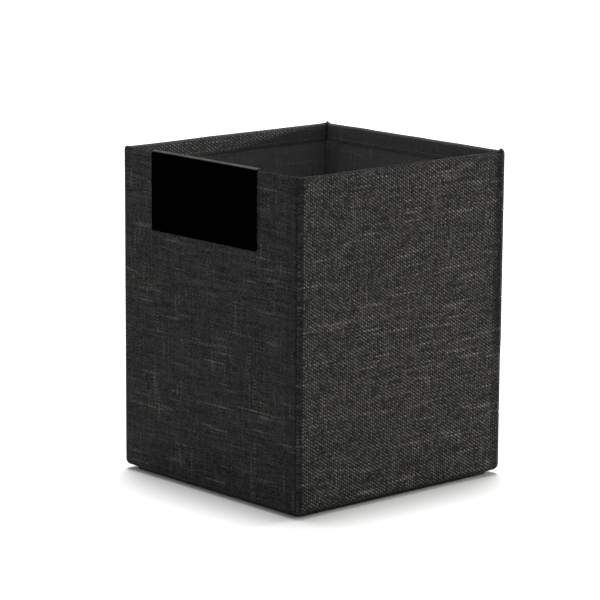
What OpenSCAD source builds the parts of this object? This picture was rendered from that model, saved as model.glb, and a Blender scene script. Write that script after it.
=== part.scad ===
// Fabric storage cube: four board-stiffened walls in a coarse woven cloth, a smooth inner
// lining, an inset base pad, a loose floor board, and a sheet label clip hooked over the rim.
// Origin: centre of the underside. +Z is up and the front wall, with the label, faces -Y.

/* [Box] */
// Outside width of the front wall, along X
box_w = 265; // [240:5:300]
// Outside depth of the side walls, along Y
box_d = 275; // [240:5:300]
// Height of the rim above the floor
box_h = 330; // [280:5:360]
// Outside radius of the upright corners and of the bottom edge
corner_r = 6.5; // [6:0.5:7]

/* [Wall layers] */
// Thickness of the woven outer cloth
cloth_t = 1.2; // [1:0.1:1.3]
// Thickness of the grey board that stiffens a wall
board_t = 2; // [1.5:0.1:2.2]
// Thickness of the nonwoven lining
lining_t = 0.6; // [0.4:0.1:0.6]
// How far the outer cloth is turned down inside the rim
hem_depth = 18; // [14:1:32]
// How far an upright seam stands from the outside corner
seam_inset = 4; // [3:0.5:5]
// Width of the groove along an upright seam
seam_groove = 0.3; // [0.2:0.1:0.6]
// Height of the cloth peak that stands on each rim corner
peak_h = 2.4; // [1:0.2:3]

/* [Base] */
// Height of the base pad that the box stands on
pad_h = 4; // [3.4:0.2:5]
// How far the pad stands in from the walls
pad_inset = 9; // [8:1:16]
// Width of the cloth edges that are turned over the base board
pad_turn = 20; // [12:2:30]
// How far the wall cloth is turned under the floor
under_turn = 10; // [6:1:16]

/* [Loose floor board] */
// Thickness of the wrapped floor board
floor_board_h = 3.2; // [2.6:0.2:4]
// Distance from the outside of a wall to the edge of the floor board
floor_board_inset = 8.6; // [8.2:0.2:10]

/* [Seams inside] */
// Width of the overlocked seam allowance in each inside corner
allowance_w = 17; // [9:1:20]
// Height from one overlock stitch to the next
overlock_pitch = 3.2; // [3:0.2:6]
// Length from one hem stitch to the next
hem_stitch_pitch = 5.2; // [4.4:0.2:7]
// Thickness of the sewing thread
thread_t = 0.5; // [0.4:0.1:0.5]

/* [Label clip] */
// Width of the label plate
label_w = 157; // [100:1:180]
// Length of the label plate from the rim down
label_h = 78; // [50:1:100]
// Distance of the plate's centre from the middle of the wall, towards +X
label_shift = -6; // [-20:1:20]
// Thickness of the sheet
label_t = 1.2; // [0.8:0.1:1.3]
// Length of the leg that hooks down inside
hook_leg = 30; // [20:1:40]
// Radius of the plate's lower corners
label_corner_r = 2; // [1:0.5:4]
// Gap between the plate and the outside of the wall
clip_gap_out = 0.3; // [0.3:0.1:0.6]
// Gap between the leg and the hem inside, which clears the hem stitches
clip_gap_in = 0.9; // [0.9:0.1:1]

/* [Hidden] */

$fn = 48;
slip = 0.05;                                  // paper-thin gap between neighbouring layers
rim_t = 2 * cloth_t + board_t + lining_t + 4 * slip;  // whole thickness of a wall at the rim
rim_r = rim_t / 2;                            // the cloth turns over the rim in a half circle
cloth_inner = rim_t - cloth_t;                // depth at which the turned-down hem starts
wall_bottom = pad_h;                          // the wall cloth turns under at this height
bend_z = wall_bottom + corner_r;              // the bottom curve ends and the flat wall starts
hem_bottom = box_h - hem_depth;               // raw edge of the hem inside
floor_z = wall_bottom + cloth_t + slip;       // top of the turned-under cloth
lining_top = box_h - 10;                      // upper edge of a wall lining, behind the hem
lining_depth = cloth_inner - lining_t - slip; // depth of a lining's outer face
// A wall lining starts where its corner meets the inside of the cloth's round bottom corner.
lining_foot = bend_z - sqrt(max(0, pow(corner_r - cloth_t - slip, 2)
    - 2 * pow(corner_r - lining_depth, 2)));
loose_z = floor_z + lining_t + slip;          // underside of the loose floor board
inside_face = cloth_inner + slip;             // depth of the first face inside the lining
seam_half = seam_groove / 2;                  // each cloth stops this far from the seam line
peak_foot_r = 0.9 * rim_r;                    // cloth peak at its foot
peak_tip_r = 0.6;                             // and at its tip
wrap_t = 0.8;                                 // nonwoven that wraps the boards
allowance_t = 1.2;                            // three layers of cloth, pressed flat
allowance_foot = loose_z + floor_board_h + 1; // allowances start above the floor board
overlock_reach = 0.76 * allowance_w;          // how far a stitch reaches onto the allowance
overlock_margin = 2;                          // distance from the first stitch to the end
overlock_h = 1.6 * thread_t;                  // height of one stitch
hem_stitch_gap = 1.2;                         // cloth between one hem stitch and the next
hem_stitch_up = 3;                            // height of the stitching above the hem's edge
hem_stitch_margin = 1;                        // bare cloth before a corner
cut = 400;                                    // larger than the whole box

CLOTH = [0.15, 0.15, 0.15];
LINING = [0.09, 0.09, 0.09];
GREYBOARD = [0.52, 0.49, 0.45];
THREAD = [0.2, 0.2, 0.2];
LABEL = [0.02, 0.02, 0.02];

// Walls are numbered 0 front, 1 right, 2 back, 3 left, counter-clockwise seen from above.
function wall_length(i) = i % 2 == 0 ? box_w : box_d;
function wall_distance(i) = (i % 2 == 0 ? box_d : box_w) / 2;

// Puts a wall drawn along X, with its outside at y = 0 and its inside towards +Y, in its place.
module place_wall(i) {
    rotate([0, 0, 90 * i]) translate([0, -wall_distance(i), 0]) children();
}

// Section of the wall cloth in depth and height: round the bottom edge, up the outside, over
// the rim and down inside as a hem.
module cover_section() {
    translate([0, bend_z]) square([cloth_t, box_h - rim_r - bend_z]);
    translate([cloth_inner, hem_bottom]) square([cloth_t, hem_depth - rim_r]);
    intersection() {
        translate([rim_r, box_h - rim_r]) difference() {
            circle(rim_r);
            circle(rim_r - cloth_t);
        }
        translate([0, box_h - rim_r]) square([rim_t, rim_r]);
    }
    intersection() {
        translate([corner_r, bend_z]) difference() {
            circle(corner_r);
            circle(corner_r - cloth_t);
        }
        translate([0, wall_bottom]) square(corner_r);
    }
}

// The straight stretch of one wall's cloth, and its strip turned under the floor, which is
// mitred against the neighbouring walls' strips.
module cover_straight(i) {
    reach = wall_length(i) / 2 - corner_r;
    rotate([90, 0, 90]) translate([0, 0, -reach]) linear_extrude(2 * reach) cover_section();
    translate([0, corner_r, wall_bottom]) linear_extrude(cloth_t)
        polygon([[-reach, 0], [reach, 0], [reach - under_turn, under_turn],
            [under_turn - reach, under_turn]]);
}

// The round corner at the wall's +X end, turning from this wall to the next.
module cover_corner(i) {
    translate([wall_length(i) / 2 - corner_r, corner_r, 0])
        rotate([0, 0, -90]) rotate_extrude(angle = 90)
            translate([corner_r, 0]) mirror([1, 0]) cover_section();
}

// A cloth peak where the seam ends on top of a rim corner.
module corner_peak(i) {
    out = (corner_r - rim_r) * cos(45);
    translate([wall_length(i) / 2 - corner_r + out, corner_r - out, box_h - rim_r])
        cylinder(r1 = peak_foot_r, r2 = peak_tip_r, h = rim_r + peak_h);
}

// The piece of a round corner and its peak on one side of the seam: side -1 is the wall's own
// side and side 1 is the part that belongs to the next wall's cloth.
module corner_side(i, side) {
    seam_x = wall_length(i) / 2 - seam_inset + side * seam_half;
    intersection() {
        union() {
            cover_corner(i);
            corner_peak(i);
        }
        translate([seam_x + side * cut / 2, 0, cut / 2]) cube(cut, center = true);
    }
}

// One wall's cloth. At its -X end it takes the corner round to the seam on the wall before, and
// at its +X end it stops at the seam, where the next wall's cloth comes round.
module cover(i) {
    color(CLOTH) {
        place_wall(i) {
            cover_straight(i);
            corner_side(i, -1);
        }
        place_wall((i + 3) % 4) corner_side((i + 3) % 4, 1);
    }
}

// Grey board inside one wall.
module wall_board(i) {
    reach = wall_length(i) / 2 - corner_r;
    color(GREYBOARD) place_wall(i)
        translate([-reach, cloth_t + slip, bend_z])
            cube([2 * reach, board_t, box_h - rim_r - bend_z]);
}

// Lining of one wall. Front and back reach into the corners, the sides stop against them.
module wall_lining(i) {
    reach = wall_length(i) / 2 - (i % 2 == 0 ? lining_depth : inside_face);
    color(LINING) place_wall(i)
        translate([-reach, lining_depth, lining_foot])
            cube([2 * reach, lining_t, lining_top - lining_foot]);
}

module bottom_lining() {
    inset = corner_r + slip;
    color(LINING)
        translate([inset - box_w / 2, inset - box_d / 2, floor_z])
            cube([box_w - 2 * inset, box_d - 2 * inset, lining_t]);
}

// Seam allowance folded flat onto wall i beside its +X corner, under the hem.
module seam_allowance(i) {
    color(LINING) place_wall(i)
        translate([wall_length(i) / 2 - inside_face - allowance_w, inside_face, allowance_foot])
            cube([allowance_w, allowance_t, hem_bottom - slip - allowance_foot]);
}

// Overlock stitches that wrap the free edge of each seam allowance.
module corner_overlock_thread() {
    count = floor((hem_bottom - allowance_foot - 2 * overlock_margin) / overlock_pitch);
    color(THREAD) for (i = [0:3]) place_wall(i)
        for (k = [0:count - 1])
            translate([wall_length(i) / 2 - inside_face - allowance_w - thread_t,
                    inside_face + allowance_t,
                    allowance_foot + overlock_margin + k * overlock_pitch])
                cube([overlock_reach, thread_t, overlock_h]);
}

// Lockstitch that holds the hem to the lining, seen on the inside only.
module hem_thread() {
    color(THREAD) for (i = [0:3]) place_wall(i) {
        run = wall_length(i) - 2 * (corner_r + hem_stitch_margin);
        count = floor(run / hem_stitch_pitch);
        for (k = [0:count - 1])
            translate([(k - count / 2) * hem_stitch_pitch, rim_t, hem_bottom + hem_stitch_up])
                cube([hem_stitch_pitch - hem_stitch_gap, thread_t, thread_t]);
    }
}

// A flat board with round corners, standing on z = 0.
module rounded_slab(w, d, h, r) {
    linear_extrude(h) {
        square([w - 2 * r, d], center = true);
        square([w, d - 2 * r], center = true);
        for (x = [-1, 1], y = [-1, 1])
            translate([x * (w / 2 - r), y * (d / 2 - r)]) circle(r);
    }
}

// Nonwoven wrapped round a board of the same outline. Its edges are turned over onto one face,
// which it leaves open in the middle: face 1 is the top and face -1 is the underside.
module board_wrap(w, d, h, r, turn, face) {
    difference() {
        rounded_slab(w, d, h, r);
        translate([0, 0, wrap_t])
            rounded_slab(w - 2 * wrap_t, d - 2 * wrap_t, h - 2 * wrap_t, r - wrap_t);
        translate([0, 0, h / 2 + face * h / 2])
            cube([w - 2 * turn, d - 2 * turn, h], center = true);
    }
}

// The board inside such a wrap.
module wrapped_board(w, d, h, r) {
    inset = wrap_t + slip;
    translate([0, 0, inset])
        rounded_slab(w - 2 * inset, d - 2 * inset, h - 2 * inset, r - inset);
}

// Base pad, glued under the floor. The box stands on it.
pad_w = box_w - 2 * pad_inset;
pad_d = box_d - 2 * pad_inset;
pad_t = pad_h - slip;
pad_corner_r = 6;

module base_pad_wrap() {
    color(LINING) board_wrap(pad_w, pad_d, pad_t, pad_corner_r, pad_turn, 1);
}

module base_pad_board() {
    color(GREYBOARD) wrapped_board(pad_w, pad_d, pad_t, pad_corner_r);
}

// Loose floor board, which lies on the bottom lining and lifts out.
loose_w = box_w - 2 * floor_board_inset;
loose_d = box_d - 2 * floor_board_inset;
loose_corner_r = 3;

module floor_board_wrap() {
    color(LINING) translate([0, 0, loose_z])
        board_wrap(loose_w, loose_d, floor_board_h, loose_corner_r, pad_turn, -1);
}

module floor_board_core() {
    color(GREYBOARD) translate([0, 0, loose_z])
        wrapped_board(loose_w, loose_d, floor_board_h, loose_corner_r);
}

// Section of the clip over the rim: a half circle, and the short leg inside.
module hook_section() {
    gap = rim_t + clip_gap_out + clip_gap_in;
    bend_inner = gap / 2;
    bend_outer = bend_inner + label_t;
    translate([bend_inner - clip_gap_out, box_h - rim_r]) intersection() {
        difference() {
            circle(bend_outer);
            circle(bend_inner);
        }
        translate([-bend_outer, 0]) square([2 * bend_outer, bend_outer]);
    }
    translate([rim_t + clip_gap_in, box_h - hook_leg]) square([label_t, hook_leg - rim_r]);
}

// Outline of the plate below the bend: square at the top, with two round lower corners.
module plate_outline() {
    straight = label_w - 2 * label_corner_r;
    translate([-label_w / 2, box_h - label_h + label_corner_r])
        square([label_w, label_h - label_corner_r - rim_r]);
    translate([-straight / 2, box_h - label_h]) square([straight, label_corner_r]);
    for (x = [-1, 1])
        translate([x * straight / 2, box_h - label_h + label_corner_r]) circle(label_corner_r);
}

// Label clip: one bent sheet, with its plate outside the front wall and its leg inside.
module label_clip() {
    color(LABEL) translate([label_shift, -box_d / 2, 0]) {
        rotate([90, 0, 90]) translate([0, 0, -label_w / 2])
            linear_extrude(label_w) hook_section();
        translate([0, -clip_gap_out, 0]) rotate([90, 0, 0])
            linear_extrude(label_t) plate_outline();
    }
}

cover(0);  // front_cover
cover(1);  // right_cover
cover(2);  // back_cover
cover(3);  // left_cover
wall_board(0);  // front_board
wall_board(1);  // right_board
wall_board(2);  // back_board
wall_board(3);  // left_board
wall_lining(0);  // front_lining
wall_lining(1);  // right_lining
wall_lining(2);  // back_lining
wall_lining(3);  // left_lining
bottom_lining();
seam_allowance(3);  // front_left_seam_allowance
seam_allowance(0);  // front_right_seam_allowance
seam_allowance(1);  // back_right_seam_allowance
seam_allowance(2);  // back_left_seam_allowance
corner_overlock_thread();
hem_thread();
base_pad_wrap();
base_pad_board();
floor_board_wrap();
floor_board_core();
label_clip();
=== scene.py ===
"""A tall fabric storage box: board walls in a coarse slubby cloth, a paler lining, an inset base
pad, a loose floor board and a blank label clip. Lengths are in metres."""

import math

import bmesh
import bpy
import numpy as np
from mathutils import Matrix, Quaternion, Vector


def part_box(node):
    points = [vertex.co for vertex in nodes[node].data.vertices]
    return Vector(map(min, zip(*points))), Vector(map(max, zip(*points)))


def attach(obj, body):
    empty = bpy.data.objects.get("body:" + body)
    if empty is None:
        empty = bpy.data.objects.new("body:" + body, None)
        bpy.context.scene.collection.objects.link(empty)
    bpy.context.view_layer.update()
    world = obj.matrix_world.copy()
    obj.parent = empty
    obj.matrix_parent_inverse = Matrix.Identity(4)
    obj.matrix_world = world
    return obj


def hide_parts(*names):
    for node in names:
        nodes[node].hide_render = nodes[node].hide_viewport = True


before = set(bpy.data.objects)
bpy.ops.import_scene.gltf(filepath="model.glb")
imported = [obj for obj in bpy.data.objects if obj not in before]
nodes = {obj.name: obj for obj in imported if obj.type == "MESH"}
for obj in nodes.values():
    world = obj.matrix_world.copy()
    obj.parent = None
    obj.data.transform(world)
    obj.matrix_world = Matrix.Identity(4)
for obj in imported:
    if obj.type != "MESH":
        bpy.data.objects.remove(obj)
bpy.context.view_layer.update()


# The studio: a long lens a little above the rim, a white floor, and white surroundings. A wide
# light high behind the box drops its soft shadow forwards, and a low one rakes the right wall.

camera_round, camera_up, camera_roll = math.radians(48.16), math.radians(11.34), math.radians(0.36)
camera_distance = 2.96
lens_mm, sensor_mm = 177.3, 36
aim = Vector((-0.0070, -0.0110, 0.1769))
warm_white = (1.0, 0.965, 0.90)
room_white, room_strength = (1, 1, 1, 1), 0.5


def direction(round_angle, up_angle):
    """The way out from the box at an angle round from the front and an angle up, in radians."""
    return Vector((
        math.sin(round_angle) * math.cos(up_angle),
        -math.cos(round_angle) * math.cos(up_angle),
        math.sin(up_angle),
    ))


back = direction(camera_round, camera_up)
camera = bpy.data.objects.new("camera", bpy.data.cameras.new("camera"))
camera.data.lens = lens_mm
camera.data.sensor_width = sensor_mm
camera.location = aim + back * camera_distance
camera.rotation_mode = "QUATERNION"
camera.rotation_quaternion = back.to_track_quat("Z", "Y") @ Quaternion((0, 0, 1), camera_roll)
bpy.context.scene.collection.objects.link(camera)
bpy.context.scene.camera = camera
bpy.context.scene.view_settings.view_transform = "Standard"


def distant_light(name, round_deg, up_deg, spread_deg, strength, colour=(1, 1, 1)):
    """A wide light far off, even all over the floor. The spread is how wide it looks."""
    towards = direction(math.radians(round_deg), math.radians(up_deg))
    light = bpy.data.objects.new(name, bpy.data.lights.new(name, "SUN"))
    light.data.angle = math.radians(spread_deg)
    light.data.energy = strength
    light.data.color = colour
    light.rotation_mode = "QUATERNION"
    light.rotation_quaternion = towards.to_track_quat("Z", "Y")
    bpy.context.scene.collection.objects.link(light)


distant_light("high_light", round_deg=230, up_deg=80, spread_deg=24, strength=3.7)
distant_light("raking_light", round_deg=173, up_deg=6, spread_deg=4, strength=2.8,
    colour=warm_white)

world = bpy.data.worlds.new("white_room")
world.use_nodes = True
world.node_tree.nodes["Background"].inputs["Color"].default_value = room_white
world.node_tree.nodes["Background"].inputs["Strength"].default_value = room_strength
bpy.context.scene.world = world


# Grey board, 2 mm thick, inside the four walls, the base pad and the floor board. It is raw
# pressed paper: flecked, with a faint lie of fibres. It isn't seen until the box is opened up.

board_fibres, board_flecks = (900, 900, 260), (420, 420, 420)
fleck_level = 0.68
board_dark, board_light = (0.20, 0.185, 0.16, 1), (0.33, 0.31, 0.275, 1)
fleck_colour = (0.09, 0.085, 0.08, 1)


class Wire:
    """A socket in a material's node tree. Arithmetic on it adds Math nodes."""

    def __init__(self, tree, socket=None):
        self.tree, self.socket = tree, socket

    def node(self, kind, settings, values, out=0):
        """Adds a node: its settings first, then the value or link of each socket."""
        made = self.tree.nodes.new(kind)
        for name, value in settings.items():
            setattr(made, name, value)
        for key, value in values.items():
            self.set(made.inputs[key], value)
        return Wire(self.tree, made.outputs[out])

    def set(self, socket, value):
        """Links a Wire to a socket, or sets the socket to a plain value."""
        if isinstance(value, Wire):
            self.tree.links.new(value.socket, socket)
        else:
            socket.default_value = value

    def math(self, operation, *others):
        return self.node("ShaderNodeMath", {"operation": operation}, dict(enumerate((self, *others))))

    def __add__(self, other):
        return self.math("ADD", other)

    def __sub__(self, other):
        return self.math("SUBTRACT", other)

    def __rsub__(self, other):
        return self.math("MULTIPLY", -1.0).math("ADD", other)

    def __mul__(self, other):
        return self.math("MULTIPLY", other)

    def __gt__(self, other):
        return self.math("GREATER_THAN", other)

    __radd__ = __add__
    __rmul__ = __mul__


def new_material(name):
    """A material, a bare Wire in its tree, and its surface shader."""
    made = bpy.data.materials.new(name)
    made.use_nodes = True
    return made, Wire(made.node_tree), made.node_tree.nodes["Principled BSDF"]


def finish(wire, shader, values):
    """Sets or links the sockets of a surface shader."""
    for name, value in values.items():
        wire.set(shader.inputs[name], value)


def place(wire, scale):
    """The piece's own coordinates in metres, scaled along each axis."""
    own = wire.node("ShaderNodeTexCoord", {}, {}, out="Object")
    return wire.node("ShaderNodeVectorMath", {"operation": "MULTIPLY"}, {0: own, 1: scale})


def noise(wire, where, detail=2.0):
    """A noise from 0 to 1 with a period of about 1 in the coordinates given."""
    return wire.node("ShaderNodeTexNoise", {}, {"Vector": where, "Scale": 1.0, "Detail": detail})


def mix(wire, factor, first, second):
    """A colour between two."""
    return wire.node("ShaderNodeMix", {"data_type": "RGBA"},
        {"Factor": factor, "A": first, "B": second}, out="Result")


def bump(wire, height, distance, strength=1.0):
    """A bent normal. The distance is how far out a height of 1 stands."""
    return wire.node("ShaderNodeBump", {},
        {"Height": height, "Distance": distance, "Strength": strength}, out="Normal")


greyboard, wire, shader = new_material("greyboard")
fibres = noise(wire, place(wire, board_fibres), 3.0)
fleck = noise(wire, place(wire, board_flecks), 1.0) > fleck_level
board_colour = mix(wire, fibres, board_dark, board_light)
finish(wire, shader, {
    "Base Color": mix(wire, fleck, board_colour, fleck_colour),
    "Roughness": 0.9,
    "Normal": bump(wire, fibres, 0.0002),
})
for name in ("front_board", "right_board", "back_board", "left_board",
        "base_pad_board", "floor_board_core"):
    nodes[name].data.materials.clear()
    nodes[name].data.materials.append(greyboard)


# Outer cloth: one piece of coarse linen-look cloth to a wall. It is glued over the board, turned
# over the rim into a hem inside and rolled under the floor. At the corners it is sewn to its
# neighbours, and the seams draw it in and leave a small peak on the rim.

half_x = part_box("right_cover")[1].x
half_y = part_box("back_cover")[1].y
corner_r = half_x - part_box("front_board")[1].x
wall_t = 0.0052
rim_r = wall_t / 2
rim_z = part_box("front_board")[1].z + rim_r
foot_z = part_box("front_cover")[0].z
hem_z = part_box("front_left_seam_allowance")[1].z
hem_edge = 0.0003
seam_inset = 0.004
under_turn = 0.010
# The strip before each seam where the cloth is pressed over the seam allowance: its weave is flatter,
# and its colour is painted darker, a painted shade along the corner.
pressed_shade_strip, pressed_shade_fade = 0.014, 0.002
warp_pitch, weft_pitch = 0.00266, 0.00168
cloth_t = 0.0008
weave_relief = 0.00007
slub_relief, slub_length, slub_from, slub_row_step = 0.00013, 9, 0.3, 7.13
swell_relief, swell_across, swell_down = 0.00011, 0.07, 0.08
seam_roll, seam_roll_width = 0.0008, 0.0009
pucker_relief, pucker_width, pucker_pitch = 0.00005, 0.004, 0.0032
proud, proud_more, proud_width = 0.0004, 0.0006, 0.006
proud_from_z, proud_fade = 0.130, 0.004
ripple_relief, ripple_length = 0.0003, 0.021
neighbour_gap = 0.0001
peak_heights, peak_width = (0.0012, 0.0024, 0.0030, 0.0008), 0.0016
# How much of the inside's painted light, a paler colour standing in for the light inside the box, the
# hem takes on each wall, and how close to a seam that light fades out, which leaves a painted shade
# in the inside corners.
hem_painted_light, seam_painted_shade_width = (0.65, 0.65, 0.65, 0.55), 0.003
yarns_to_next_wall = 220
WALLS = ("front", "right", "back", "left")
QUARTER_TURNS = ((1, 0), (0, 1), (-1, 0), (0, -1))


def turned(points, wall):
    """Points drawn for the front wall, turned a quarter for each wall, counter-clockwise."""
    x, y, z = points[..., 0], points[..., 1], points[..., 2]
    c, s = QUARTER_TURNS[wall]
    return np.stack([c * x - s * y, s * x + c * y, z], axis=-1)


def smooth_noise(x, y, seed):
    """Value noise from -1 to 1: random numbers on a unit lattice, joined by smooth steps."""
    x, y = np.broadcast_arrays(x, y)
    ix, iy = np.floor(x).astype(np.int64), np.floor(y).astype(np.int64)
    fx, fy = x - ix, y - iy
    fx, fy = fx * fx * (3 - 2 * fx), fy * fy * (3 - 2 * fy)

    def lattice(i, j):
        mixed = (i * 73856093) ^ (j * 19349663) ^ (seed * 83492791)
        mixed = (mixed ^ (mixed >> 13)) * 1274126177 & 0x7FFFFFFF
        return (mixed ^ (mixed >> 16)) % 65536 / 32767.5 - 1

    low = lattice(ix, iy) * (1 - fx) + lattice(ix + 1, iy) * fx
    high = lattice(ix, iy + 1) * (1 - fx) + lattice(ix + 1, iy + 1) * fx
    return low * (1 - fy) + high * fy


def surface(name, points, uv, material, thickness=0.0, values=None):
    """A mesh from a grid of points, with a UV map and, where given, more values at each point.
    Its faces look along (down the rows) x (along the columns). Points that coincide are merged.
    With a thickness, Solidify gives it a back on the other side."""
    rows, columns = points.shape[:2]
    index = np.arange(rows * columns).reshape(rows, columns)
    faces = np.stack([index[:-1, :-1], index[1:, :-1], index[1:, 1:], index[:-1, 1:]], axis=-1)
    mesh = bpy.data.meshes.new(name)
    mesh.from_pydata(points.reshape(-1, 3).tolist(), [], faces.reshape(-1, 4).tolist())
    corners = np.zeros(len(mesh.loops), np.int32)
    mesh.loops.foreach_get("vertex_index", corners)
    layer = mesh.uv_layers.new(name="cloth")
    layer.data.foreach_set("uv", uv.reshape(-1, 2)[corners].ravel().astype(np.float32))
    for title, value in (values or {}).items():
        layer = mesh.attributes.new(title, "FLOAT", "POINT")
        layer.data.foreach_set("value", value.ravel().astype(np.float32))
    shape = bmesh.new()
    shape.from_mesh(mesh)
    bmesh.ops.remove_doubles(shape, verts=shape.verts, dist=1e-6)
    shape.to_mesh(mesh)
    shape.free()
    mesh.polygons.foreach_set("use_smooth", np.ones(len(mesh.polygons), bool))
    mesh.materials.append(material)
    made = bpy.data.objects.new(name, mesh)
    bpy.context.scene.collection.objects.link(made)
    if thickness:
        solid = made.modifiers.new("thickness", "SOLIDIFY")
        solid.thickness, solid.offset = thickness, -1
    return made


def path_length(*coordinates):
    """Length along a path from its start to each point, from the steps between the points."""
    steps = np.sqrt(sum(np.diff(one) ** 2 for one in coordinates))
    return np.concatenate([[0], np.cumsum(steps)])


def cover_section():
    """The section of the cloth: up the hem, in a half circle over the rim, down the wall, in a
    quarter circle round the foot and under. Rows: depth inside the wall's face, height, and the
    way out of the cloth as depth and height. Then the number of each row, counted in yarns."""
    over = np.linspace(0, math.pi, 11)
    round_foot = np.linspace(0, math.pi / 2, 7)[1:]
    hem = np.arange(hem_z + hem_edge, rim_z - rim_r - weft_pitch / 2, weft_pitch)
    hem = np.concatenate([[hem_z], hem])
    drop = rim_z - rim_r - foot_z - corner_r
    wall = rim_z - rim_r - np.linspace(0, drop, round(drop / weft_pitch) + 1)[1:]
    under = np.linspace(0, under_turn, 6)[1:]
    section = np.concatenate([
        [np.full(len(hem), wall_t), hem, np.ones(len(hem)), np.zeros(len(hem))],
        [rim_r + rim_r * np.cos(over), rim_z - rim_r + rim_r * np.sin(over),
            np.cos(over), np.sin(over)],
        [np.zeros(len(wall)), wall, -np.ones(len(wall)), np.zeros(len(wall))],
        [corner_r - corner_r * np.cos(round_foot),
            foot_z + corner_r - corner_r * np.sin(round_foot),
            -np.cos(round_foot), -np.sin(round_foot)],
        [corner_r + under, np.full(len(under), foot_z), np.zeros(len(under)), -np.ones(len(under))],
    ], axis=1)
    along = path_length(section[0], section[1])
    start = len(hem) + len(over)
    step = along[start + 1] - along[start]
    return section, along, (along - along[start]) / step + 0.5


def cover_outline(length):
    """The cloth's run round the box at the front wall, from the seam on the left wall to the seam
    near its own right end: the centre that each point turns about, its turn, the length along
    the run, and the same length counted in yarns. Points lie on yarns and half way between."""
    seam_turn = math.asin((corner_r - seam_inset) / corner_r)
    first = np.linspace(seam_turn - math.pi / 2, 0, 9)
    last = np.linspace(0, seam_turn, 5)
    reach = length / 2 - corner_r
    flat = np.linspace(-reach, reach, 2 * round(reach / warp_pitch * 2) + 1)
    before, after = len(first) - 1, len(last) - 1
    centre = np.concatenate([np.full(before, -reach), flat, np.full(after, reach)])
    turn = np.concatenate([first[:-1], np.zeros(len(flat)), last[1:]])
    run = path_length(centre + corner_r * turn)
    return centre, turn, run, (run - run[before]) / (flat[2] - flat[0]) + 0.5


def cover_points(wall):
    """Each point lies at the section's depth and height on the outline, and is lifted a little
    along the way out: up where a weft yarn lies on top and down where a warp yarn does, up along
    slubs, up and down in slow swells, up in a ridge beside a seam and down where the cloth rolls
    into it. The rim ripples and rises to a peak where a seam meets it, and the last part of the
    foot is mitred. A peak's number is that of the wall whose run ends there. Two more values say
    how hard a point is pressed over a seam allowance, where its colour is painted darker as a
    painted shade along the corner, and how much painted light it takes as part of the inside.
    That painted light fades out near the seams and leaves a painted shade in the inside corners."""
    length, distance = ((half_x, half_y), (half_y, half_x))[wall % 2]
    section, along, weft = cover_section()
    depth, height, out_depth, out_height = (row[:, None] for row in section)
    centre, turn, run, warp = (column[None, :] for column in cover_outline(2 * length))
    along, weft = along[:, None], weft[:, None]
    from_start, from_end = run, run.max() - run
    from_seam = np.minimum(from_start, from_end)
    seed = 10 * (wall + 1)
    weave = weave_relief * np.sin(math.pi * warp) * np.sin(math.pi * weft)
    thick = smooth_noise(warp / slub_length, np.floor(weft) * slub_row_step, seed)
    slub = slub_relief * np.maximum(thick - slub_from, 0)
    swell = swell_relief * smooth_noise(run / swell_across, along / swell_down, seed + 1)
    roll = seam_roll * np.exp(-(from_seam / seam_roll_width) ** 2)
    pucker = np.exp(-from_seam / pucker_width) * np.cos(2 * math.pi * along / pucker_pitch)
    high_up = 1 / (1 + np.exp((proud_from_z - height) / proud_fade))
    ridge = proud + (proud_more * high_up if wall in (1, 2) else 0)
    ridge = ridge * np.exp(-((from_end if wall == 1 else from_start) / proud_width) ** 2)
    loose = np.clip(1 + out_height, 0, 1)
    lift = weave + slub + swell + pucker_relief * pucker + ridge - roll - neighbour_gap
    lift = lift * loose
    depth = depth + out_depth * lift
    reach = corner_r - depth
    radius = np.maximum(reach, 0)
    mitre = np.where(reach < 0, 1 + reach / (length - corner_r), 1)
    on_rim = np.clip(out_height, 0, 1)
    peak = np.maximum(peak_heights[wall - 1] * np.exp(-from_start / peak_width),
        peak_heights[wall] * np.exp(-from_end / peak_width)) * on_rim
    near_rim = height > rim_z - rim_r - 0.001
    ripple = ripple_relief * smooth_noise(run / ripple_length, 0.5, seed + 2) * near_rim
    x = centre * mitre + radius * np.sin(turn)
    y = -distance + corner_r - np.where(reach > 0, radius * np.cos(turn), reach)
    z = height + out_height * lift + peak + ripple
    points = np.stack(np.broadcast_arrays(x, y, z), axis=-1)
    uv = np.stack(np.broadcast_arrays(warp + yarns_to_next_wall * wall, weft), axis=-1)
    # Pressed strip before the seam: flatter weave, and colour painted darker as a painted shade along
    # the corner.
    pressed = np.clip((pressed_shade_strip - from_end) / pressed_shade_fade, 0, 1) + 0 * weft
    # On the inside the hem takes painted light, a paler colour. It fades out near each seam so that
    # the inside corners keep a painted shade.
    painted_light_clear_of_seam = 1 - np.exp(-(from_seam / seam_painted_shade_width) ** 2)
    inside = hem_painted_light[wall] * np.clip(out_depth, 0, 1) * painted_light_clear_of_seam
    values = {"pressed": pressed, "inside": inside}
    return turned(points, wall), uv, values, run.max(), along.max()


yarn_lean = 0.22
warp_plump, weft_plump = 0.04, 0.22
warp_drift, weft_drift = 16.0, 11.0
slub_level, slub_edge = 0.62, 9.0
weave_wander = (0.13, 0.09, 0)
weave_dark, weave_light = (0.0040, 0.0040, 0.0041, 1), (0.055, 0.0535, 0.0505, 1)
# The inside's colours are a paler copy of the cloth's, a painted light that stands in for the light
# inside the box.
painted_lit_inside_dark, painted_lit_inside_light = (0.104, 0.100, 0.0995, 1), (0.165, 0.160, 0.157, 1)
mean_light = 0.27
weave_bump = 0.0007


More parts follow.
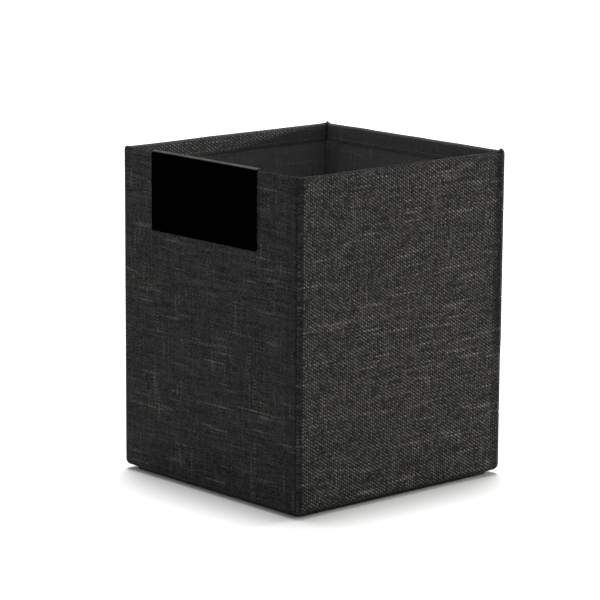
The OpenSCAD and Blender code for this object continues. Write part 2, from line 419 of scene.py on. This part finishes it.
def woven_material():
    """Plain weave on the cloth map, which counts yarns. Warp and weft heights are waves that
    trade places from crossing to crossing over round yarns. Each yarn has a tone that drifts
    along it, each crossing a tone of its own, and here and there a slub runs light. The low parts
    of the weave are painted darker, a painted shade in its hollows. Where the cloth is pressed
    over a seam allowance its weave is flatter and its colour is painted darker, a painted shade
    along the corner. The side that is turned to the inside is painted paler, a painted light that
    stands in for the light inside the box, and its weave is flatter."""
    made, wire, shader = new_material("woven_cloth")
    own = wire.node("ShaderNodeUVMap", {"uv_map": "cloth"}, {})
    slow = wire.node("ShaderNodeVectorMath", {"operation": "MULTIPLY"}, {0: own, 1: weave_wander})
    wobble = noise(wire, slow, 1.0) - 0.5
    across = wire.node("ShaderNodeSeparateXYZ", {}, {0: own}, out="X") + wobble * 0.7
    up = wire.node("ShaderNodeSeparateXYZ", {}, {0: own}, out="Y") + wobble * 0.5
    warp, weft = across.math("FLOOR"), up.math("FLOOR")
    cell = wire.node("ShaderNodeCombineXYZ", {}, {0: warp, 1: weft})
    crossing = wire.node("ShaderNodeTexWhiteNoise", {"noise_dimensions": "2D"},
        {"Vector": cell}, out="Value") - 0.5

    def yarn(number, along, cross, seed, drift, plump):
        """Rise and fall of one set of yarns, and each yarn's tone and slubs. The yarn's twist
        makes each crossing lean over to one side."""
        round_top = (cross.math("FRACT") - 0.5) * 2
        leaning = along - round_top * yarn_lean
        wave = (leaning * math.pi).math("SINE") * (number * math.pi).math("COSINE")
        wave = wave * (crossing * 1.3 + 0.55)
        spot = wire.node("ShaderNodeCombineXYZ", {},
            {0: along * (1 / drift), 1: number * 5.37, 2: seed})
        tone = noise(wire, spot, 2.0) - 0.5
        far_spot = wire.node("ShaderNodeCombineXYZ", {},
            {0: along * (0.5 / drift), 1: number * 3.91, 2: seed + 4.5})
        slub = (noise(wire, far_spot, 1.0) - slub_level) * slub_edge
        slub = slub.math("MINIMUM", 1.0).math("MAXIMUM", 0.0)
        return (1 - round_top * round_top) * plump + wave, tone, slub

    warp_h, warp_tone, warp_slub = yarn(warp, up * -1.0, across, 1.5, warp_drift, warp_plump)
    weft_h, weft_tone, weft_slub = yarn(weft, across, up, 8.5, weft_drift, weft_plump)
    warp_h = warp_h + warp_tone * 0.6 + warp_slub * 0.2 - 0.17
    weft_h = weft_h + weft_tone * 0.6 + weft_slub * 0.25
    weft_on_top = weft_h > warp_h
    height = warp_h.math("MAXIMUM", weft_h)
    pressed = wire.node("ShaderNodeAttribute", {"attribute_name": "pressed"}, {}, out="Fac")
    inside = wire.node("ShaderNodeAttribute", {"attribute_name": "inside"}, {}, out="Fac")
    warp_light = mean_light + warp_tone * 1.5 + warp_slub * 1.0 + crossing * 0.25
    weft_light = mean_light + weft_tone * 1.4 + weft_slub * 1.1 + crossing * 0.35
    light = warp_light * (1 - weft_on_top) + weft_light * weft_on_top
    # The low parts of the weave are painted darker, a painted shade in the hollows between yarns.
    hollow_painted_shade = (height * 0.7 + 0.6).math("MINIMUM", 1.0).math("MAXIMUM", 0.4)
    # Over the pressed strip the colour is painted darker too, a painted shade along the corner.
    light = light * hollow_painted_shade * (1 - pressed * 0.45)
    light = light.math("MAXIMUM", 0.0).math("MINIMUM", 1.0)
    outer_colour = mix(wire, light, weave_dark, weave_light)
    # Where the inside value is set, the paler painted-light colours are used.
    painted_lit_inside_colour = mix(wire, light, painted_lit_inside_dark, painted_lit_inside_light)
    finish(wire, shader, {
        "Base Color": mix(wire, inside, outer_colour, painted_lit_inside_colour),
        "Roughness": 0.65 - light * 0.15,
        "Specular IOR Level": 0.08,
        "Normal": bump(wire, height * (1 - pressed * 0.5 - inside * 0.6), weave_bump),
    })
    return made


woven = woven_material()
for wall, side in enumerate(WALLS):
    points, uv, values, run_length, drop_length = cover_points(wall)
    cover = surface(f"{side}_woven_cover", points, uv, woven, cloth_t, values)
    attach(cover, "box")
    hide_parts(f"{side}_cover")


# Linings: a sheet of the same weave is glued to each board behind the hem, and slackens a little
# between its glued edges. Its colour is painted paler, a painted light that stands in for the
# light inside the box. A nonwoven sheet lies on the bottom, over the turned-under cloth.

glue_width, slack_fade = 0.022, 0.02
lining_slack = 0.00045
lining_t = 0.00055
bottom_wave = 0.00002
bottom_dark, bottom_light = (0.082, 0.0785, 0.0805, 1), (0.136, 0.130, 0.133, 1)
bottom_dot_pitch = 0.0016
fibres_lying, fibres_standing, clouds = (260, 2600, 0), (2600, 300, 0), (26, 26, 0)


def front_box(node, wall):
    """A node's lowest and highest corners, with its wall turned round to the front."""
    box = np.array([tuple(corner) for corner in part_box(node)])
    c, s = QUARTER_TURNS[wall]
    seen = np.stack([c * box[:, 0] + s * box[:, 1], c * box[:, 1] - s * box[:, 0], box[:, 2]])
    return seen.min(axis=1), seen.max(axis=1)


def nonwoven_material(name, dark, light, dot_pitch):
    """Pressed fibre sheet on the cloth map, in metres: fine fibres lying in two directions, and a
    diagonal lattice of pressed dots, which is the product of two cosines above a level."""
    made, wire, shader = new_material(name)
    own = wire.node("ShaderNodeUVMap", {"uv_map": "cloth"}, {})

    def at_scale(scale):
        return wire.node("ShaderNodeVectorMath", {"operation": "MULTIPLY"}, {0: own, 1: scale})

    lying = noise(wire, at_scale(fibres_lying), 3.0)
    standing = noise(wire, at_scale(fibres_standing), 3.0)
    fibres = lying.math("MAXIMUM", standing)
    cloudy = noise(wire, at_scale(clouds), 2.0)
    turns = 2 * math.pi / dot_pitch
    across = (wire.node("ShaderNodeSeparateXYZ", {}, {0: own}, out="X") * turns).math("COSINE")
    up = (wire.node("ShaderNodeSeparateXYZ", {}, {0: own}, out="Y") * turns).math("COSINE")
    dots = ((across * up - 0.45) * 3.0).math("MINIMUM", 1.0).math("MAXIMUM", 0.0)
    tone = (fibres * 0.9 + cloudy * 0.5 - 0.35 - dots * 0.12).math("MINIMUM", 1.0)
    finish(wire, shader, {
        "Base Color": mix(wire, tone.math("MAXIMUM", 0.0), dark, light),
        "Roughness": 0.72 - dots * 0.2,
        "Specular IOR Level": 0.1,
        "Normal": bump(wire, fibres * 0.5 - dots, 0.00006, 0.7),
    })
    return made


def sheet_piece(made, body, node):
    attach(made, body)
    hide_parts(node)


def lining_points(wall, low, high):
    """A flat sheet up the wall, drawn at the front. Clear of its glued edges and below the hem it
    swells into the box by a slow noise."""
    x = np.linspace(low[0], high[0], 90)[None, :]
    z = np.linspace(low[2], high[2], 110)[:, None]
    from_side = np.minimum(x - low[0], high[0] - x)
    from_edge = np.minimum(from_side, np.minimum(z - low[2], hem_z - z))
    slack = np.clip((from_edge - glue_width) / slack_fade, 0, 1)
    swell = lining_slack * (smooth_noise(x / 0.06, z / 0.09, 70 + wall) + 0.8) * slack
    points = np.stack(np.broadcast_arrays(x, high[1] + swell, z), axis=-1)
    warp, weft = x / warp_pitch + yarns_to_next_wall * wall, z / weft_pitch
    uv = np.stack(np.broadcast_arrays(warp, weft), axis=-1)
    return turned(points, wall), uv, (high[0] - low[0], high[2] - low[2])


for wall, side in enumerate(WALLS):
    points, uv, flat = lining_points(wall, *front_box(f"{side}_lining", wall))
    # The whole lining takes the inside's painted light.
    values = {"inside": np.ones(points.shape[:2])}
    lining = surface(f"{side}_lining_sheet", points, uv, woven, lining_t, values)
    sheet_piece(lining, "box", f"{side}_lining")

low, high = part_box("bottom_lining")
grid_x, grid_y = np.meshgrid(np.linspace(low.x, high.x, 60), np.linspace(high.y, low.y, 62))
level = high.z - bottom_wave * (1 + smooth_noise(grid_x / 0.05, grid_y / 0.05, 80))
bottom_points = np.stack([grid_x, grid_y, level], axis=-1)
bottom_cloth = nonwoven_material("lining_nonwoven", bottom_dark, bottom_light, bottom_dot_pitch)
bottom = surface("bottom_lining_sheet", bottom_points, bottom_points[..., :2], bottom_cloth, lining_t)
sheet_piece(bottom, "box", "bottom_lining")


# Seam allowances: where two walls' cloths are sewn together, their edges are trimmed to one strip
# in each inside corner, which is folded flat against the lining.

ALLOWANCES = ("front_right", "back_right", "back_left", "front_left")
edge_roll = 0.0011
overlock_pitch = 0.0032
allowance_t = 0.00095
pinch_relief, pinch_width = 0.00012, 0.006
strip_wave = 0.00010
edge_wander, edge_wander_width = 0.0003, 0.003


def allowance_points(wall, low, high):
    """A flat strip drawn at the front wall beside its right corner. Its free edge rolls back in a
    quarter circle and wanders a little, and the sewing pinches it in a wave at every stitch."""
    roll_turn = np.linspace(0, math.pi / 2, 6)
    rest = np.linspace(edge_roll, high[0] - low[0], 12)[1:]
    across = np.concatenate([edge_roll * (1 - np.cos(roll_turn)), rest])[None, :]
    back_by = np.concatenate([edge_roll * (1 - np.sin(roll_turn)), 0 * rest])[None, :]
    z = np.linspace(low[2], high[2], 330)[:, None]
    pinch = pinch_relief * (1 + np.cos(2 * math.pi * z / overlock_pitch))
    pinch = pinch * np.exp(-across / pinch_width)
    slow = strip_wave * (1 + smooth_noise(across / 0.02, z / 0.03, 90 + wall))
    edge = edge_wander * smooth_noise(0.5, z / 0.009, 95 + wall)
    edge = edge * np.exp(-across / edge_wander_width)
    y = high[1] - back_by - pinch - slow
    points = np.stack(np.broadcast_arrays(low[0] + across + edge, y, z), axis=-1)
    uv = np.stack(np.broadcast_arrays(across / warp_pitch, z / weft_pitch), axis=-1)
    return turned(points, wall), uv, (high[0] - low[0], high[2] - low[2])


for wall, corner in enumerate(ALLOWANCES):
    node = f"{corner}_seam_allowance"
    points, uv, flat = allowance_points(wall, *front_box(node, wall))
    # The whole strip takes the inside's painted light.
    values = {"inside": np.ones(points.shape[:2])}
    strip = surface(f"{corner}_seam_strip", points, uv, woven, allowance_t, values)
    sheet_piece(strip, "box", node)


# Sewing thread: spun polyester. A dark overlock wraps the free edge of each seam allowance, with a
# bar across it and a chain link at every stitch, and a grey lockstitch holds the hem down.

thread_r = 0.00024
thread_plies, thread_twist = 2.0, 1400.0
askew = (0.31, 0.43, 0.85)
bar_reach, bar_slant = 0.0124, 0.0006
bar_sink, link_sink, link_bow = 0.0007, 0.0005, 0.0003
side_shake, up_shake = 0.0003, 0.0002
hem_stitch_pitch, hem_stitch_run = 0.0052, 0.0040
hem_stitch_z = hem_z + 0.00325
hem_stitch_margin = 0.001
hem_stitch_sink, hem_stitch_wander = 0.0006, 0.00012


def tubes(name, rings, material):
    """Closed tubes from rings of points, as tube x ring x point. The rings turn clockwise seen
    along the tube, and both ends are closed. The map goes round a tube and along it."""
    count, length, sides = rings.shape[:3]
    index = np.arange(count * length * sides).reshape(count, length, sides)
    following = np.roll(index, -1, axis=2)
    quads = np.stack([index[:, :-1], index[:, 1:], following[:, 1:], following[:, :-1]], axis=-1)
    mesh = bpy.data.meshes.new(name)
    mesh.from_pydata(rings.reshape(-1, 3).tolist(), [], quads.reshape(-1, 4).tolist()
        + index[:, 0, :].tolist() + index[:, -1, ::-1].tolist())
    steps = np.linalg.norm(np.diff(rings.mean(axis=2), axis=1), axis=-1)
    along = np.concatenate([np.zeros((count, 1)), np.cumsum(steps, axis=1)], axis=1)
    around = np.broadcast_to(np.arange(sides) / sides, index.shape)
    uv = np.stack([around, np.broadcast_to(along[..., None], index.shape)], axis=-1)
    corners = np.zeros(len(mesh.loops), np.int32)
    mesh.loops.foreach_get("vertex_index", corners)
    layer = mesh.uv_layers.new(name="thread")
    layer.data.foreach_set("uv", uv.reshape(-1, 2)[corners].ravel().astype(np.float32))
    mesh.polygons.foreach_set("use_smooth", np.ones(len(mesh.polygons), bool))
    mesh.materials.append(material)
    made = bpy.data.objects.new(name, mesh)
    bpy.context.scene.collection.objects.link(made)
    return made


def strands(name, paths, radius, material):
    """Round threads, one to a path: six points about each point of the path, square to it. No
    path runs along the askew direction, so it gives every point a side."""
    ahead = np.gradient(paths, axis=1)
    ahead /= np.linalg.norm(ahead, axis=-1, keepdims=True)
    side = np.cross(ahead, askew)
    side /= np.linalg.norm(side, axis=-1, keepdims=True)
    over = np.cross(ahead, side)
    turn = np.arange(6)[:, None] * math.pi / 3
    ring = np.cos(turn) * side[:, :, None] - np.sin(turn) * over[:, :, None]
    return tubes(name, paths[:, :, None] + radius * ring, material)


def thread_material(name, dark, light):
    """Two-ply thread on its own map: a wave round and along it follows the twist of the two strands.
    It bumps the thread and paints its colour darker in the grooves between the strands, a painted
    shade.
    """
    made, wire, shader = new_material(name)
    own = wire.node("ShaderNodeUVMap", {"uv_map": "thread"}, {})
    around = wire.node("ShaderNodeSeparateXYZ", {}, {0: own}, out="X")
    along = wire.node("ShaderNodeSeparateXYZ", {}, {0: own}, out="Y")
    turns = around * thread_plies + along * thread_twist
    # The twist wave bumps the thread and paints its colour darker in the grooves, a painted shade.
    ply_height_and_shade = (turns * (2 * math.pi)).math("SINE") * 0.5 + 0.5
    finish(wire, shader, {
        "Base Color": mix(wire, ply_height_and_shade, dark, light),
        "Roughness": 0.55,
        "Normal": bump(wire, ply_height_and_shade, 0.00008),
    })
    return made


def overlock_paths(wall, low, high):
    """Each bar rises out of the needle line, crosses the strip at a slant and bends round its free
    edge. A link lies along the needle line from each bar to the next."""
    start = np.arange(low[2] + 0.002, high[2] - overlock_pitch, overlock_pitch)[:, None]
    shake = smooth_noise(start * 900, 0.5, 40 + wall)
    share = np.array([[0, 0.03, 0.2, 0.4, 0.6, 0.8, 0.95, 1.0]])
    deep = np.array([[1, 0.1, 0, 0, 0, 0.05, 0.5, 1.6]])
    needle_x = low[0] + bar_reach
    face = high[1] + 0.6 * thread_r
    x = needle_x - share * (bar_reach + thread_r) + side_shake * shake * (1 - share)
    z = start + bar_slant * share + up_shake * shake
    bars = np.stack(np.broadcast_arrays(x, face - bar_sink * deep, z), axis=-1)
    climb = np.linspace(0, 1, 8)[None, :]
    link_x = needle_x + link_bow * np.sin(math.pi * climb) + side_shake * shake
    link_y = face - link_sink * np.abs(2 * climb - 1) ** 3
    link_z = start + climb * overlock_pitch + up_shake * shake
    links = np.stack(np.broadcast_arrays(link_x, link_y, link_z), axis=-1)
    return turned(np.concatenate([bars, links]), wall)


def hem_stitch_paths(wall):
    """Each stitch comes up out of the cloth, lies on it and goes down again."""
    length, distance = ((half_x, half_y), (half_y, half_x))[wall % 2]
    count = int(2 * (length - corner_r - hem_stitch_margin) / hem_stitch_pitch)
    start = (np.arange(count)[:, None] - count / 2) * hem_stitch_pitch
    share = np.array([[0, 0.04, 0.12, 0.3, 0.5, 0.7, 0.88, 0.96, 1.0]])
    deep = np.array([[1, 0.45, 0.1, 0, 0, 0, 0.1, 0.45, 1]])
    y = wall_t - distance + 0.8 * thread_r - hem_stitch_sink * deep
    z = hem_stitch_z + hem_stitch_wander * smooth_noise(start * 700, 0.5, 50 + wall)
    points = np.stack(np.broadcast_arrays(start + share * hem_stitch_run, y, z), axis=-1)
    return turned(points, wall)


dark_thread = thread_material("overlock_thread", (0.03, 0.03, 0.03, 1), (0.06, 0.059, 0.058, 1))
grey_thread = thread_material("hem_thread", (0.07, 0.068, 0.067, 1), (0.15, 0.146, 0.143, 1))
bars_and_links = [overlock_paths(wall, *front_box(f"{corner}_seam_allowance", wall))
    for wall, corner in enumerate(ALLOWANCES)]
overlock = strands("corner_overlock_stitches", np.concatenate(bars_and_links), thread_r,
    dark_thread)
hem_line = strands("hem_stitches",
    np.concatenate([hem_stitch_paths(wall) for wall in range(4)]), thread_r, grey_thread)
for made, node in ((overlock, "corner_overlock_thread"), (hem_line, "hem_thread")):
    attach(made, "box")
    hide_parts(node)


# Board wraps: nonwoven glued round the base pad, which stands in under the walls, and round the
# loose floor board. Each leaves the middle of one face open and has its corners folded to mitres.

wrap_t = 0.0007
wrap_turn = 0.020
wrap_edge_r = 0.0011
outline_step, corner_points = 0.004, 7
mitre_depth, mitre_width = 0.00025, 0.0008
wrap_dark, wrap_light = (0.020, 0.0195, 0.020, 1), (0.044, 0.043, 0.044, 1)
wrap_dot_pitch = 0.0022


def wrap_outline(half, corner):
    """A rectangle with round corners, counter-clockwise from the front right: the centre that
    each point turns about, the way out from it, and the length along the outline."""
    signs = np.array([(1, -1), (1, 1), (-1, 1), (-1, -1), (1, -1)])
    centre, turn = [], []
    for quarter in range(4):
        here, there = (half - corner) * signs[quarter], (half - corner) * signs[quarter + 1]
        side = np.linspace(here, there, round(np.abs(there - here).max() / outline_step))[1:-1]
        centre += [np.repeat(here[None], corner_points, axis=0), side]
        turn += [np.linspace(quarter - 1, quarter, corner_points), np.full(len(side), quarter)]
    centre, turn = np.concatenate(centre), np.concatenate(turn) * math.pi / 2
    centre, turn = np.concatenate([centre, centre[:1]]), np.append(turn, 3 * math.pi / 2)
    out = np.stack([np.cos(turn), np.sin(turn)], axis=-1)
    return centre, out, path_length(*(centre + corner * out).T)


def wrap_points(low, high, corner, face):
    """A section carried round the outline: in from the open middle of the turned face to the
    edge, round it and down the side, and in to the middle of the other face. A point within the
    corner's radius lies on its own ray, and one further in keeps its share of the side. A mitre
    is a narrow dip where a point is as far from one side as from the other. The open face is the
    top with face 1 and the underside with face -1."""
    low, high = np.array(low), np.array(high)
    half, middle = (high - low)[:2] / 2, (high + low)[:2] / 2
    bend = np.linspace(0, math.pi / 2, 5)
    bend_in, bend_down = wrap_edge_r * (1 - np.sin(bend)), wrap_edge_r * (1 - np.cos(bend))
    turned_in = np.linspace(wrap_turn, wrap_edge_r, 9)[:-1]
    whole_in = np.linspace(wrap_edge_r, half.min(), 20)[1:]
    inset = np.concatenate([turned_in, bend_in, bend_in[::-1], whole_in])
    height = np.concatenate([np.full(len(turned_in), high[2]), high[2] - bend_down,
        low[2] + bend_down[::-1], np.full(len(whole_in), low[2])])
    on_turned = np.arange(len(inset)) < len(turned_in)
    if face < 0:
        inset, height, on_turned = inset[::-1], low[2] + high[2] - height[::-1], on_turned[::-1]
    centre, out, around = wrap_outline(half, corner)
    along = path_length(inset, height)
    inset, height = inset[:, None, None], height[:, None]
    spot = centre * np.minimum((half - inset) / (half - corner), 1)
    spot = spot + out * np.maximum(corner - inset, 0)
    from_side = half - np.abs(spot)
    from_mitre = from_side[..., 0] - from_side[..., 1]
    dip = mitre_depth * np.exp(-(from_mitre / mitre_width) ** 2) * on_turned[:, None]
    points = np.concatenate([spot + middle, (height - face * dip)[..., None]], axis=-1)
    uv = np.stack(np.broadcast_arrays(around[None, :], along[:, None]), axis=-1)
    return points, uv, tuple(2 * (half + wrap_turn + high[2] - low[2]))


wrap = nonwoven_material("wrap_nonwoven", wrap_dark, wrap_light, wrap_dot_pitch)
for name, body, corner, face, rests_on in (
        ("base_pad", "box", 0.006, 1, "base_pad_board"),
        ("floor_board", "floor_board", 0.003, -1, "floor_board_core")):
    points, uv, flat = wrap_points(*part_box(f"{name}_wrap"), corner, face)
    made = surface(f"{name}_wrap_sheet", points, uv, wrap, wrap_t)
    sheet_piece(made, body, f"{name}_wrap")


# Label clip: one sheet bent over the rim of the front wall, with a blank plate outside and a
# short leg inside. It is powder coated, matt black, and its edges are rolled smooth.

clip_t = 0.0012
clip_leg = 0.0318
clip_corner_r = 0.002
# Above this height the top of the bend is painted grey in patches, a painted highlight; the gain sets
# how fast it comes in.
clip_highlight_z, clip_highlight_gain = 0.3302, 900.0
coat_black, coat_painted_highlight = (0.0003, 0.0003, 0.0003, 1), (0.15, 0.15, 0.15, 1)
peel_scale, haze_scale = (1500, 1500, 1500), (60, 60, 60)


def clip_rings(low, high):
    """Flat rings with round ends, carried up the leg, in a half circle over the rim and down the
    plate. At each end of the path the rings get thinner as a quarter circle, and narrower as the
    quarter circle of the plate's corners."""
    edge_r = clip_t / 2
    bend_r = (high.y - low.y) / 2 - edge_r
    bend_y, bend_z = (high.y + low.y) / 2, high.z - bend_r - edge_r
    leg_z = high.z - clip_leg
    near_end = np.array([0, 0.04, 0.15, 0.33, 0.6, 1.0]) * edge_r
    far_end = np.linspace(edge_r, clip_corner_r, 6)[1:]
    start = np.concatenate([near_end, far_end])
    over = np.linspace(0, math.pi, 25)
    straight = np.ones(len(start))
    y = np.concatenate([straight * (bend_y + bend_r), bend_y + bend_r * np.cos(over),
        straight * (bend_y - bend_r)])
    z = np.concatenate([leg_z + start, bend_z + bend_r * np.sin(over), low.z + start[::-1]])
    out_y = np.concatenate([straight, np.cos(over), -straight])
    out_z = np.concatenate([0 * straight, np.sin(over), 0 * straight])
    from_end = np.concatenate([start, np.ones(len(over)), start[::-1]])

    def round_in(radius):
        short = np.maximum(radius - from_end, 0)
        return radius - np.sqrt(radius ** 2 - short ** 2)

    thick = edge_r - round_in(edge_r)
    wide = (high.x - low.x) / 2 - edge_r - round_in(clip_corner_r)
    turn = np.concatenate([np.linspace(0, math.pi, 9), np.linspace(math.pi, 2 * math.pi, 9)])
    side = np.repeat([1, -1], 9)
    x = (high.x + low.x) / 2 + side * wide[:, None] + thick[:, None] * np.sin(turn)
    off = thick[:, None] * np.cos(turn)
    return np.stack([x, y[:, None] + out_y[:, None] * off, z[:, None] + out_z[:, None] * off],
        axis=-1)


def coated_material():
    """Powder coat: a fine orange peel, and a slow change in its gloss. Along the top of the bend its
    colour is painted grey in patches, a painted highlight."""
    made, wire, shader = new_material("black_powder_coat")
    peel = noise(wire, place(wire, peel_scale), 2.0)
    hazy = noise(wire, place(wire, haze_scale), 3.0)
    height = wire.node("ShaderNodeSeparateXYZ", {}, {0: place(wire, (1, 1, 1))}, out="Z")
    # Painted highlight: grey in patches along the top of the bend.
    painted_highlight = ((height - clip_highlight_z) * clip_highlight_gain).math("MINIMUM", 1.0).math("MAXIMUM", 0.0) * hazy
    finish(wire, shader, {
        "Base Color": mix(wire, painted_highlight, coat_black, coat_painted_highlight),
        "Roughness": 0.40 + hazy * 0.15,
        "Specular IOR Level": 0.0,
        "Normal": bump(wire, peel, 0.00004, 0.6),
    })
    return made


clip = tubes("blank_label_clip", clip_rings(*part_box("label_clip"))[None], coated_material())
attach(clip, "label_clip")
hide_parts("label_clip")


# Floor: plain white and matt, and far larger than the box, so that its edges stay out of view.
# It is part of the studio and not of the box.

floor_size = 16.0
floor_white = (0.9, 0.9, 0.9, 1)
paint, wire, shader = new_material("white_floor")
finish(wire, shader, {"Base Color": floor_white, "Roughness": 0.9, "Specular IOR Level": 0.1})
floor_mesh = bpy.data.meshes.new("floor")
edge = floor_size / 2
floor_mesh.from_pydata([(-edge, -edge, 0), (edge, -edge, 0), (edge, edge, 0), (-edge, edge, 0)],
    [], [(0, 1, 2, 3)])
floor_mesh.materials.append(paint)
floor = bpy.data.objects.new("floor", floor_mesh)
bpy.context.scene.collection.objects.link(floor)
